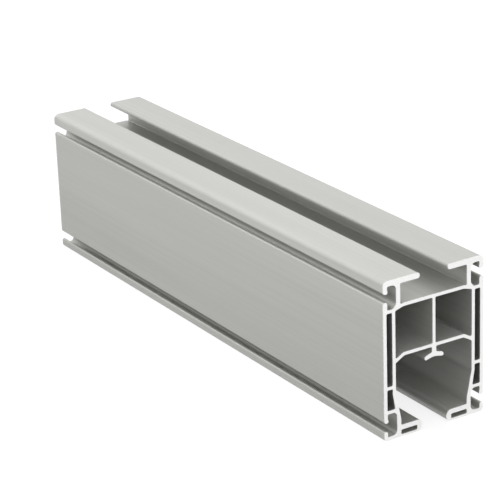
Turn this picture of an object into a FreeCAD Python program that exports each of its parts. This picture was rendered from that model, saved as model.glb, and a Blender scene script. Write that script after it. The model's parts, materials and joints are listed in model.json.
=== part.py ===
import FreeCAD, Part
import math
import os

# A straight length of hollow aluminium track extrusion, cut square at both ends.
# One closed outline with eight hollows is pushed along Y in one piece.
# X runs across the profile, Z up, and the origin is the middle of the underside.
# The profile is the same left and right. Its corners are given as (u, z, r):
# u is measured inwards from the outer side face, z from the underside, and r is
# the rounding of that corner. All sizes are in millimetres.

# Overall sizes
LENGTH = 500.0
WIDTH = 90.0
HEIGHT = 125.0

# Walls
OUTER_WALL = 2.8
INNER_WALL = 2.7
WALL_GAP = 5.0
WEB = 2.5

# Head with the T-slot
TOP_FLANGE = 4.2
SLOT_MOUTH = 25.0
SLOT_DEPTH = 15.7
NECK = 3.6
NECK_SETBACK = 11.5
NECK_FLARE = 3.0

# Upper trim grooves, open to the sides
NIB_DROP = 10.0
UPPER_MOUTH = 6.1
UPSTAND = 6.5
UPPER_LIP = 3.6
UPPER_BEAD = 4.4

# Webs across the body; their ends slant down to the inner walls
WEB_BEND = 17.5
UPPER_WEB_DROP = 2.0
LOWER_WEB_DROP = 4.0
LOWER_WEB_TOP = 66.6

# Guide foot under the lower web
STEM = 3.8
STEM_DROP = 4.4
FOOT_WIDTH = 17.0
FOOT_THICKNESS = 3.2
FOOT_DROOP = 2.0

# Double side walls and the throat above the runner flanges
DIVIDER_TOP = 42.6
SLANT_TOP = 36.0
SLANT_FOOT = 14.5
THROAT_SETBACK = 11.4
THROAT_WALL = 3.6

# Lower trim grooves, open to the sides
GROOVE_FLOOR = 2.8
LIP_TOP = 7.3
LOWER_MOUTH = 6.8
LIP_DROP = 7.0
LOWER_LIP = 3.0
LOWER_BEAD = 4.0

# Hollow runner flanges
RUNNER_SLOT = 22.0
RUNNER_FLANGE = 9.4
RUNNER_TOP_SKIN = 3.8
RUNNER_SKIN = 1.8
RUNNER_TIP = 4.5

# Taper from a hanging lip to the bead at its end
BEAD_TAPER = 3.6

# Roundings
EDGE_ROUND = 4.2
FOOT_EDGE_ROUND = 2.4
GROOVE_ROUND = 4.0
CORNER_ROUND = 1.0
BEND_ROUND = 4.0
SLANT_ROUND = 12.0
DROOP_ROUND = 14.0
FULL_ROUND = 10.0

# Heights and setbacks worked out from the sizes above
FLANGE_UNDERSIDE = HEIGHT - TOP_FLANGE
SLOT_FLOOR = FLANGE_UNDERSIDE - SLOT_DEPTH
NIB_END = HEIGHT - NIB_DROP
UPSTAND_TOP = NIB_END - UPPER_MOUTH
UPPER_GROOVE_FLOOR = UPSTAND_TOP - UPSTAND
LIP_END = LIP_TOP + LOWER_MOUTH
LOWER_GROOVE_TOP = LIP_END + LIP_DROP
SIDE_CHAMBER_FLOOR = LOWER_GROOVE_TOP + WEB
INNER_WALL_SETBACK = OUTER_WALL + WALL_GAP
BODY_SETBACK = INNER_WALL_SETBACK + INNER_WALL
THROAT_INSIDE = THROAT_SETBACK + THROAT_WALL
CENTRE = WIDTH / 2


def rounded_wire(corners, side):
    """Closed wire through the corners, each one rounded by a tangent arc.

    side is 1 for the left half as given and -1 for its mirror image. A rounding
    is held back to what the shorter of its two straight sides has room for.
    """
    points = [FreeCAD.Vector(side * (u - CENTRE), -LENGTH / 2, z) for u, z, radius in corners]
    count = len(points)
    starts, middles, ends = [], [], []
    for i, corner in enumerate(points):
        back = points[i - 1] - corner
        ahead = points[(i + 1) % count] - corner
        room = min(back.Length, ahead.Length) / 2
        half_turn = (math.pi - back.getAngle(ahead)) / 2
        reach = min(room, corners[i][2] * math.tan(half_turn))
        radius = reach / math.tan(half_turn)
        back.normalize()
        ahead.normalize()
        inwards = (back + ahead).normalize()
        to_centre = math.hypot(radius, reach)
        starts.append(corner + back * reach)
        middles.append(corner + inwards * (to_centre - radius))
        ends.append(corner + ahead * reach)
    edges = []
    for i in range(count):
        edges.append(Part.Arc(starts[i], middles[i], ends[i]).toShape())
        following = starts[(i + 1) % count]
        if ends[i].distanceToPoint(following) > 1e-6:
            edges.append(Part.makeLine(ends[i], following))
    return Part.Wire(edges)


def web_slope(drop):
    """Angle at which a web's end slants down, for its drop at the inner wall."""
    return math.atan2(drop, WEB_BEND - BODY_SETBACK)


def web_bend(face_below, drop):
    """Place across the profile where a web's face bends, this far below its top."""
    return WEB_BEND + face_below * math.tan(web_slope(drop) / 2)


def web_height(u, web_top, face_below, drop):
    """Height of the slanting part of a web's face at u, this far below its top."""
    bend = web_bend(face_below, drop)
    return web_top - face_below - (bend - u) * math.tan(web_slope(drop))


def wall_setback(z):
    """Setback of the inner wall's hidden face at a height on its slanting part."""
    share = (SLANT_TOP - z) / (SLANT_TOP - SLANT_FOOT)
    return INNER_WALL_SETBACK + share * (THROAT_SETBACK - INNER_WALL_SETBACK)


def t_slot():
    """T-slot in the head, from its middle floor out to the lip of its mouth."""
    lip_edge = CENTRE - SLOT_MOUTH / 2
    inside = NECK_SETBACK + NECK
    return [
        (WEB_BEND, SLOT_FLOOR, BEND_ROUND),
        (inside, web_height(inside, SLOT_FLOOR, 0, UPPER_WEB_DROP), CORNER_ROUND),
        (inside, FLANGE_UNDERSIDE, CORNER_ROUND),
        (lip_edge, FLANGE_UNDERSIDE, FULL_ROUND),
        (lip_edge, HEIGHT, FULL_ROUND),
    ]


def upper_trim_groove():
    """Top edge, hanging nib, C-shaped groove with its flared floor, and upstand."""
    return [
        (0, HEIGHT, EDGE_ROUND),
        (0, NIB_END, FULL_ROUND),
        (UPPER_BEAD, NIB_END, FULL_ROUND),
        (UPPER_LIP, NIB_END + BEAD_TAPER, CORNER_ROUND),
        (UPPER_LIP, FLANGE_UNDERSIDE, CORNER_ROUND),
        (NECK_SETBACK, FLANGE_UNDERSIDE, GROOVE_ROUND),
        (NECK_SETBACK, UPPER_GROOVE_FLOOR + NECK_FLARE, GROOVE_ROUND),
        (NECK_SETBACK - NECK_FLARE, UPPER_GROOVE_FLOOR, CORNER_ROUND),
        (UPPER_LIP, UPPER_GROOVE_FLOOR, CORNER_ROUND),
        (UPPER_LIP, UPSTAND_TOP, FULL_ROUND),
        (0, UPSTAND_TOP, FULL_ROUND),
    ]


def lower_trim_groove():
    """Lip under the outer wall, C-shaped groove, and the lip on the base."""
    return [
        (0, LIP_END, FULL_ROUND),
        (LOWER_BEAD, LIP_END, FULL_ROUND),
        (LOWER_LIP, LIP_END + BEAD_TAPER, CORNER_ROUND),
        (LOWER_LIP, LOWER_GROOVE_TOP, CORNER_ROUND),
        (THROAT_SETBACK, LOWER_GROOVE_TOP, GROOVE_ROUND),
        (THROAT_SETBACK, GROOVE_FLOOR, GROOVE_ROUND),
        (LOWER_LIP, GROOVE_FLOOR, CORNER_ROUND),
        (LOWER_LIP, LIP_TOP, FULL_ROUND),
        (0, LIP_TOP, FULL_ROUND),
        (0, 0, FOOT_EDGE_ROUND),
    ]


def runner_channel():
    """Tip of the runner flange, its running face, and the channel's side wall."""
    tip = CENTRE - RUNNER_SLOT / 2
    return [
        (tip, 0, FULL_ROUND),
        (tip, RUNNER_FLANGE, FULL_ROUND),
        (THROAT_INSIDE, RUNNER_FLANGE, CORNER_ROUND),
        (THROAT_INSIDE, SLANT_FOOT, SLANT_ROUND),
        (BODY_SETBACK, SLANT_TOP, SLANT_ROUND),
        (BODY_SETBACK, web_height(BODY_SETBACK, LOWER_WEB_TOP, WEB, LOWER_WEB_DROP), CORNER_ROUND),
        (web_bend(WEB, LOWER_WEB_DROP), LOWER_WEB_TOP - WEB, BEND_ROUND),
    ]


def guide_foot():
    """Stem under the lower web and its foot, whose tips droop."""
    stem_top = LOWER_WEB_TOP - WEB
    foot_top = stem_top - STEM_DROP
    stem_face = CENTRE - STEM / 2
    tip = CENTRE - FOOT_WIDTH / 2
    tip_top = foot_top - FOOT_DROOP
    return [
        (stem_face, stem_top, CORNER_ROUND),
        (stem_face, foot_top, CORNER_ROUND),
        (tip, tip_top, FULL_ROUND),
        (tip, tip_top - FOOT_THICKNESS, FULL_ROUND),
    ]


def outline_wire():
    """Closed outline: the left half, the drooping foot's middle, the right half."""
    left = t_slot() + upper_trim_groove() + lower_trim_groove()
    left += runner_channel() + guide_foot()
    foot_middle = LOWER_WEB_TOP - WEB - STEM_DROP - FOOT_THICKNESS
    right = [(WIDTH - u, z, radius) for u, z, radius in reversed(left)]
    return rounded_wire(left + [(CENTRE, foot_middle, DROOP_ROUND)] + right, 1)


def body_chamber():
    """Large chamber beside the middle web, between the upper and lower webs."""
    middle_face = CENTRE - WEB / 2
    return [
        (BODY_SETBACK, web_height(BODY_SETBACK, LOWER_WEB_TOP, 0, LOWER_WEB_DROP), CORNER_ROUND),
        (BODY_SETBACK, web_height(BODY_SETBACK, SLOT_FLOOR, WEB, UPPER_WEB_DROP), CORNER_ROUND),
        (web_bend(WEB, UPPER_WEB_DROP), SLOT_FLOOR - WEB, BEND_ROUND),
        (middle_face, SLOT_FLOOR - WEB, CORNER_ROUND),
        (middle_face, LOWER_WEB_TOP, CORNER_ROUND),
        (WEB_BEND, LOWER_WEB_TOP, BEND_ROUND),
    ]


def side_chamber():
    """Narrow chamber inside the double wall, above the divider."""
    ceiling = UPPER_GROOVE_FLOOR - WEB
    return [
        (OUTER_WALL, DIVIDER_TOP, CORNER_ROUND),
        (OUTER_WALL, ceiling, CORNER_ROUND),
        (INNER_WALL_SETBACK, ceiling, CORNER_ROUND),
        (INNER_WALL_SETBACK, DIVIDER_TOP, CORNER_ROUND),
    ]


def lower_side_chamber():
    """Chamber below the divider, which widens as the inner wall slants away."""
    ceiling = DIVIDER_TOP - WEB
    return [
        (OUTER_WALL, SIDE_CHAMBER_FLOOR, CORNER_ROUND),
        (OUTER_WALL, ceiling, CORNER_ROUND),
        (INNER_WALL_SETBACK, ceiling, CORNER_ROUND),
        (INNER_WALL_SETBACK, SLANT_TOP, SLANT_ROUND),
        (wall_setback(SIDE_CHAMBER_FLOOR), SIDE_CHAMBER_FLOOR, CORNER_ROUND),
    ]


def flange_chamber():
    """Flat chamber inside a runner flange."""
    near = THROAT_INSIDE
    far = CENTRE - RUNNER_SLOT / 2 - RUNNER_TIP
    return [
        (near, RUNNER_SKIN, CORNER_ROUND),
        (near, RUNNER_FLANGE - RUNNER_TOP_SKIN, CORNER_ROUND),
        (far, RUNNER_FLANGE - RUNNER_TOP_SKIN, CORNER_ROUND),
        (far, RUNNER_SKIN, CORNER_ROUND),
    ]


def track_profile():
    """The outline and its hollows as one face, pushed along the whole length."""
    wires = [outline_wire()]
    for chamber in (body_chamber, side_chamber, lower_side_chamber, flange_chamber):
        wires.append(rounded_wire(chamber(), 1))
        wires.append(rounded_wire(chamber(), -1))
    section = Part.makeFace(wires, "Part::FaceMakerBullseye")
    return section.extrude(FreeCAD.Vector(0, LENGTH, 0))


os.makedirs("parts", exist_ok=True)
profile = track_profile()
profile.exportStep("parts/track_profile.step")
print("solids", len(profile.Solids), "valid", profile.isValid(), "volume", round(profile.Volume))
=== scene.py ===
import json
import math

import bpy
from mathutils import Matrix, Vector

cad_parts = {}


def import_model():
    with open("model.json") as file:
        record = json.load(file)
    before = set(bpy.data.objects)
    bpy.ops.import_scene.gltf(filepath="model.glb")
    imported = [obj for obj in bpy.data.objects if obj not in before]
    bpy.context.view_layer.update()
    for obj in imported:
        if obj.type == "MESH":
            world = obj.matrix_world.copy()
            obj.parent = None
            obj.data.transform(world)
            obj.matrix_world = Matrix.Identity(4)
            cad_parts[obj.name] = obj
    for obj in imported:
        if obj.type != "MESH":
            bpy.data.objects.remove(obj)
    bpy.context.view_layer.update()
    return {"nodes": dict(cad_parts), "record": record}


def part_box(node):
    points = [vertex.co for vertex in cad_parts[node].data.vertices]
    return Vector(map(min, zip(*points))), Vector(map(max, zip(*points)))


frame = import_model()

# Camera: azimuth, elevation and roll in degrees, distance and target in metres
CAMERA_AZIMUTH = -31.7
CAMERA_ELEVATION = 21.1
CAMERA_ROLL = -2.1
CAMERA_DISTANCE = 1.762
CAMERA_TARGET = (0.0, 0.0, 0.0625)
FRAME_PIXELS = 499
SENSOR_WIDTH = 36.0
PHOTO_FOCAL_PIXELS = 936.0
ZOOM = 2.3

# Floor: half its side in metres, its linear colour, and the plain white added where it is seen
FLOOR_REACH = 12.0
FLOOR_COLOUR = (0.30, 0.30, 0.30)
FLOOR_GLOW = 0.8

# Sky light on the object: its brightest direction, its level there, and at right angles to it
SKY_CENTRE = (-0.1, 0.0, 1.0)
SKY_HIGH = 0.86
SKY_LOW = 0.02

# Metal as it left the die, and where it was cut; colours are linear
MILL_COLOUR = (0.46, 0.465, 0.44)
CUT_COLOUR = (0.96, 0.96, 0.95)
MILL_ROUGHNESS = 0.44
CUT_ROUGHNESS = 0.48
METALLIC = 0.4

# A face is a cut where its normal points along the length by more than this
CUT_FACING = 0.9

# Die lines along the length and soft clouds, as noise features per metre on X, Y and Z
FINE_STRETCH = (2600.0, 3.0, 2600.0)
STREAK_STRETCH = (420.0, 1.2, 420.0)
BROAD_STRETCH = (60.0, 2.5, 60.0)
CLOUD_STRETCH = (26.0, 9.0, 26.0)

# Shares of them in the tone and in the roughness
FINE_TONE = 0.035
STREAK_TONE = 0.035
BROAD_TONE = 0.025
CLOUD_TONE = 0.012
STREAK_ROUGHNESS = 0.04
CLOUD_ROUGHNESS = 0.03

# Relief: its full height in metres, its strength, and the share of each kind of mark
BUMP_HEIGHT = 0.00008
BUMP_STRENGTH = 0.35
FINE_RELIEF = 0.12
STREAK_RELIEF = 0.08
SAW_RELIEF = 0.12

# Saw marks: centre of the arcs as X and Z and pitch in metres, wobble in radians, darkest tone
SAW_CENTRE = (-0.14, -0.11)
SAW_PITCH = 0.0012
SAW_STRETCH = (500.0, 500.0, 500.0)
SAW_WOBBLE = 3.0
SAW_TONE = 0.95

# Rubbed band beside each cut: width in metres, noise of its broken edge, share at the edge
RUB_WIDTH = 0.0012
RUB_STRETCH = (900.0, 900.0, 900.0)
RUB_SHARE = 0.6

# Narrow closed chambers: reach in metres of the painted shade that darkens them around the
# openings, and the tone of that painted shade
CHAMBER_SHADE_REACH = 0.0016
CHAMBER_SHADE_TONE = 0.5

# Range that nearly all values of a noise texture lie in
NOISE_LOW = 0.3
NOISE_HIGH = 0.7

profile = frame["nodes"]["track_profile"]
half_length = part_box("track_profile")[1].y
openings = frame["record"]["physics"]["openings"]
side_chambers = [o for o in openings if "side_chamber" in o["name"]]
narrow_chambers = [o["box_m"] for o in side_chambers if o["name"].endswith("right")]


class NodeTree:
    """Short calls for adding and joining shader nodes."""

    def __init__(self, tree):
        self.tree = tree
        tree.nodes.clear()

    def add(self, kind, **settings):
        node = self.tree.nodes.new(kind)
        for name, value in settings.items():
            setattr(node, name, value)
        return node

    def feed(self, socket, value):
        """Joins another socket to this one, or sets it to a constant."""
        if isinstance(value, bpy.types.NodeSocket):
            self.tree.links.new(value, socket)
        else:
            socket.default_value = value

    def math(self, operation, *values):
        node = self.add("ShaderNodeMath", operation=operation)
        for socket, value in zip(node.inputs, values):
            self.feed(socket, value)
        return node.outputs[0]

    def plus_shares(self, total, *parts):
        """A total, and to it each part times its share."""
        for part, share in parts:
            total = self.math("ADD", self.math("MULTIPLY", part, share), total)
        return total

    def vector(self, operation, *values):
        node = self.add("ShaderNodeVectorMath", operation=operation)
        for socket, value in zip(node.inputs, values):
            self.feed(socket, value)
        return node.outputs["Value" if operation == "DOT_PRODUCT" else "Vector"]

    def scaled(self, colour, share):
        node = self.add("ShaderNodeVectorMath", operation="SCALE")
        self.feed(node.inputs[0], colour)
        self.feed(node.inputs["Scale"], share)
        return node.outputs[0]

    def split(self, vector):
        node = self.add("ShaderNodeSeparateXYZ")
        self.feed(node.inputs[0], vector)
        return node.outputs

    def blend(self, share, first, second):
        """The first colour at share 0, the second at share 1."""
        node = self.add("ShaderNodeMix", data_type="RGBA")
        self.feed(node.inputs["Factor"], share)
        for name, value in (("A", first), ("B", second)):
            socket = [s for s in node.inputs if s.name == name and s.type == "RGBA"][0]
            self.feed(socket, value)
        return [s for s in node.outputs if s.type == "RGBA"][0]

    def remap(self, value, low, high, to_low, to_high):
        node = self.add("ShaderNodeMapRange")
        for socket, number in zip(node.inputs, (value, low, high, to_low, to_high)):
            self.feed(socket, number)
        return node.outputs[0]

    def noise(self, place, stretch, low, high, detail=2.0):
        """Noise stretched per axis, with its usual range set to low and high."""
        node = self.add("ShaderNodeTexNoise")
        self.feed(node.inputs["Vector"], self.vector("MULTIPLY", place, stretch))
        node.inputs["Scale"].default_value = 1.0
        node.inputs["Detail"].default_value = detail
        return self.remap(node.outputs["Fac"], NOISE_LOW, NOISE_HIGH, low, high)

    def within(self, place, box, reach):
        """1 at places that lie in a box, grown by reach across the profile."""
        low, high = Vector(box[0]), Vector(box[1])
        off_centre = self.vector("ABSOLUTE", self.vector("SUBTRACT", place, (low + high) / 2))
        outside = self.split(self.vector("SUBTRACT", off_centre, (high - low) / 2))
        return self.math("LESS_THAN", self.math("MAXIMUM", outside[0], outside[2]), reach)


def painted_chamber_shade(n, place):
    """Painted shade: 1 in the narrow chambers of both side walls, which mirror each other, and 0
    elsewhere.
    """
    right_half = n.vector("ABSOLUTE", place)
    painted_shade = 0.0
    for box in narrow_chambers:
        painted_shade = n.math("MAXIMUM", n.within(right_half, box, CHAMBER_SHADE_REACH), painted_shade)
    return painted_shade


def rub_share(n, place):
    """Bright band beside each cut, with a broken edge."""
    to_end = n.math("SUBTRACT", half_length, n.math("ABSOLUTE", n.split(place)[1]))
    broken = n.noise(place, RUB_STRETCH, -RUB_WIDTH / 2, RUB_WIDTH / 2, detail=3.0)
    return n.remap(n.math("ADD", to_end, broken), 0.0, RUB_WIDTH, RUB_SHARE, 0.0)


def saw_arcs(n, place):
    """Arcs left by a saw blade across a cut end, from -1 to 1."""
    x, _, z = n.split(place)
    from_x = n.math("SUBTRACT", x, SAW_CENTRE[0])
    from_z = n.math("SUBTRACT", z, SAW_CENTRE[1])
    x_squared = n.math("MULTIPLY", from_x, from_x)
    z_squared = n.math("MULTIPLY", from_z, from_z)
    radius = n.math("SQRT", n.math("ADD", x_squared, z_squared))
    turns = n.math("MULTIPLY", radius, 2 * math.pi / SAW_PITCH)
    wobble = n.noise(place, SAW_STRETCH, 0.0, SAW_WOBBLE)
    return n.math("SINE", n.math("ADD", turns, wobble))


def aluminium():
    """Mill aluminium: fine lines along the length, bright sawn ends with rubbed edges."""
    material = bpy.data.materials.new("aluminium")
    material.use_nodes = True
    n = NodeTree(material.node_tree)
    coords = n.add("ShaderNodeTexCoord")
    place = coords.outputs["Object"]
    facing_end = n.math("ABSOLUTE", n.split(coords.outputs["Normal"])[1])
    cut = n.math("GREATER_THAN", facing_end, CUT_FACING)
    uncut = n.math("SUBTRACT", 1.0, cut)
    bright = n.math("MAXIMUM", cut, rub_share(n, place))

    fine = n.noise(place, FINE_STRETCH, -1.0, 1.0, detail=3.0)
    streaks = n.noise(place, STREAK_STRETCH, -1.0, 1.0)
    broad = n.noise(place, BROAD_STRETCH, -1.0, 1.0, detail=1.0)
    cloud = n.noise(place, CLOUD_STRETCH, -1.0, 1.0, detail=3.0)
    arcs = saw_arcs(n, place)

    tone = n.plus_shares(1.0, (fine, FINE_TONE), (streaks, STREAK_TONE))
    tone = n.plus_shares(tone, (broad, BROAD_TONE), (cloud, CLOUD_TONE))
    # Painted shade: the colour is darkened in the narrow chambers, standing in for the shade
    # inside them
    tone = n.math("MULTIPLY", tone, n.remap(painted_chamber_shade(n, place), 0.0, 1.0, 1.0, CHAMBER_SHADE_TONE))
    sawn = n.scaled(CUT_COLOUR, n.remap(arcs, -1.0, 1.0, SAW_TONE, 1.0))
    colour = n.blend(bright, n.scaled(MILL_COLOUR, tone), sawn)

    plain = n.remap(bright, 0.0, 1.0, MILL_ROUGHNESS, CUT_ROUGHNESS)
    rough = n.plus_shares(plain, (streaks, STREAK_ROUGHNESS), (cloud, CLOUD_ROUGHNESS))

    lines = n.plus_shares(0.0, (fine, FINE_RELIEF), (streaks, STREAK_RELIEF))
    saw_marks = n.math("MULTIPLY", arcs, SAW_RELIEF)
    bump = n.add("ShaderNodeBump")
    bump.inputs["Strength"].default_value = BUMP_STRENGTH
    bump.inputs["Distance"].default_value = BUMP_HEIGHT
    n.feed(bump.inputs["Height"], n.plus_shares(0.0, (lines, uncut), (saw_marks, cut)))

    shader = n.add("ShaderNodeBsdfPrincipled")
    n.feed(shader.inputs["Base Color"], colour)
    n.feed(shader.inputs["Roughness"], rough)
    n.feed(shader.inputs["Normal"], bump.outputs[0])
    shader.inputs["Metallic"].default_value = METALLIC
    out = n.add("ShaderNodeOutputMaterial")
    n.feed(out.inputs["Surface"], shader.outputs[0])
    return material


def dress(piece, material):
    """Gives every face of a piece this material."""
    for slot in piece.material_slots:
        slot.material = material
    if not piece.material_slots:
        piece.data.materials.append(material)


def white_share(n):
    """1 for the rays that should see the background as plain white."""
    rays = n.add("ShaderNodeLightPath")
    seen = n.math("MAXIMUM", rays.outputs["Is Camera Ray"], rays.outputs["Is Glossy Ray"])
    return n.math("MAXIMUM", seen, rays.outputs["Is Transmission Ray"])


def floor():
    """Wide pale floor that keeps the object's shadow."""
    mesh = bpy.data.meshes.new("floor")
    signs = ((-1, -1), (1, -1), (1, 1), (-1, 1))
    corners = [(x * FLOOR_REACH, y * FLOOR_REACH, 0) for x, y in signs]
    mesh.from_pydata(corners, [], [(0, 1, 2, 3)])
    plane = bpy.data.objects.new("floor", mesh)
    bpy.context.scene.collection.objects.link(plane)
    material = bpy.data.materials.new("floor")
    material.use_nodes = True
    n = NodeTree(material.node_tree)
    diffuse = n.add("ShaderNodeBsdfDiffuse")
    diffuse.inputs["Color"].default_value = (*FLOOR_COLOUR, 1)
    glow = n.add("ShaderNodeEmission")
    n.feed(glow.inputs["Strength"], n.math("MULTIPLY", white_share(n), FLOOR_GLOW))
    both = n.add("ShaderNodeAddShader")
    n.feed(both.inputs[0], diffuse.outputs[0])
    n.feed(both.inputs[1], glow.outputs[0])
    out = n.add("ShaderNodeOutputMaterial")
    n.feed(out.inputs["Surface"], both.outputs[0])
    mesh.materials.append(material)


def world():
    """Soft light that comes mostly from above, seen as white behind the floor."""
    sky = bpy.data.worlds.new("studio")
    sky.use_nodes = True
    n = NodeTree(sky.node_tree)
    direction = n.add("ShaderNodeTexCoord").outputs["Generated"]
    near_centre = n.vector("DOT_PRODUCT", direction, Vector(SKY_CENTRE).normalized())
    light = n.remap(near_centre, 0.0, 1.0, SKY_LOW, SKY_HIGH)
    background = n.add("ShaderNodeBackground")
    background.inputs["Color"].default_value = (1, 1, 1, 1)
    n.feed(background.inputs["Strength"], n.remap(white_share(n), 0.0, 1.0, light, 1.0))
    out = n.add("ShaderNodeOutputWorld")
    n.feed(out.inputs["Surface"], background.outputs[0])
    bpy.context.scene.world = sky


def lamp(name, place, power, width, height, reflected=True):
    """Rectangular lamp that faces the object's middle; the metal may reflect it or not."""
    light = bpy.data.lights.new(name, "AREA")
    light.shape = "RECTANGLE"
    light.size = width
    light.size_y = height
    light.energy = power
    holder = bpy.data.objects.new(name, light)
    bpy.context.scene.collection.objects.link(holder)
    aim = Vector(CAMERA_TARGET) - Vector(place)
    holder.location = place
    holder.rotation_euler = aim.to_track_quat("-Z", "Y").to_euler()
    holder.visible_camera = False
    holder.visible_glossy = reflected


def camera():
    """Camera that sees the cut end, the left side and the top."""
    azimuth = math.radians(CAMERA_AZIMUTH)
    elevation = math.radians(CAMERA_ELEVATION)
    level = math.cos(elevation)
    back = Vector((math.sin(azimuth) * level, -math.cos(azimuth) * level, math.sin(elevation)))
    right = Vector((math.cos(azimuth), math.sin(azimuth), 0))
    up = back.cross(right)
    roll = Matrix.Rotation(math.radians(CAMERA_ROLL), 3, back)
    place = Matrix((roll @ right, roll @ up, back)).transposed().to_4x4()
    place.translation = Vector(CAMERA_TARGET) + back * CAMERA_DISTANCE
    data = bpy.data.cameras.new("camera")
    data.sensor_width = SENSOR_WIDTH
    data.lens = PHOTO_FOCAL_PIXELS * ZOOM / FRAME_PIXELS * SENSOR_WIDTH
    holder = bpy.data.objects.new("camera", data)
    bpy.context.scene.collection.objects.link(holder)
    holder.matrix_world = place
    bpy.context.scene.camera = holder


camera()
world()
floor()

# Lamps: places and sizes in metres, power in watts; the strip is above the left side and lights
# the inside of the T-slot and the upper left trim groove
lamp("key", place=(-0.1, -2.35, 0.7), power=29.0, width=3.2, height=1.7)
lamp("strip", place=(-0.16, 0.0, 0.19), power=0.36, width=0.8, height=0.04, reflected=False)
lamp("overhead", place=(0.1, 1.0, 2.0), power=31.0, width=4.0, height=4.0)

dress(profile, aluminium())

bpy.context.scene.view_settings.view_transform = "Standard"
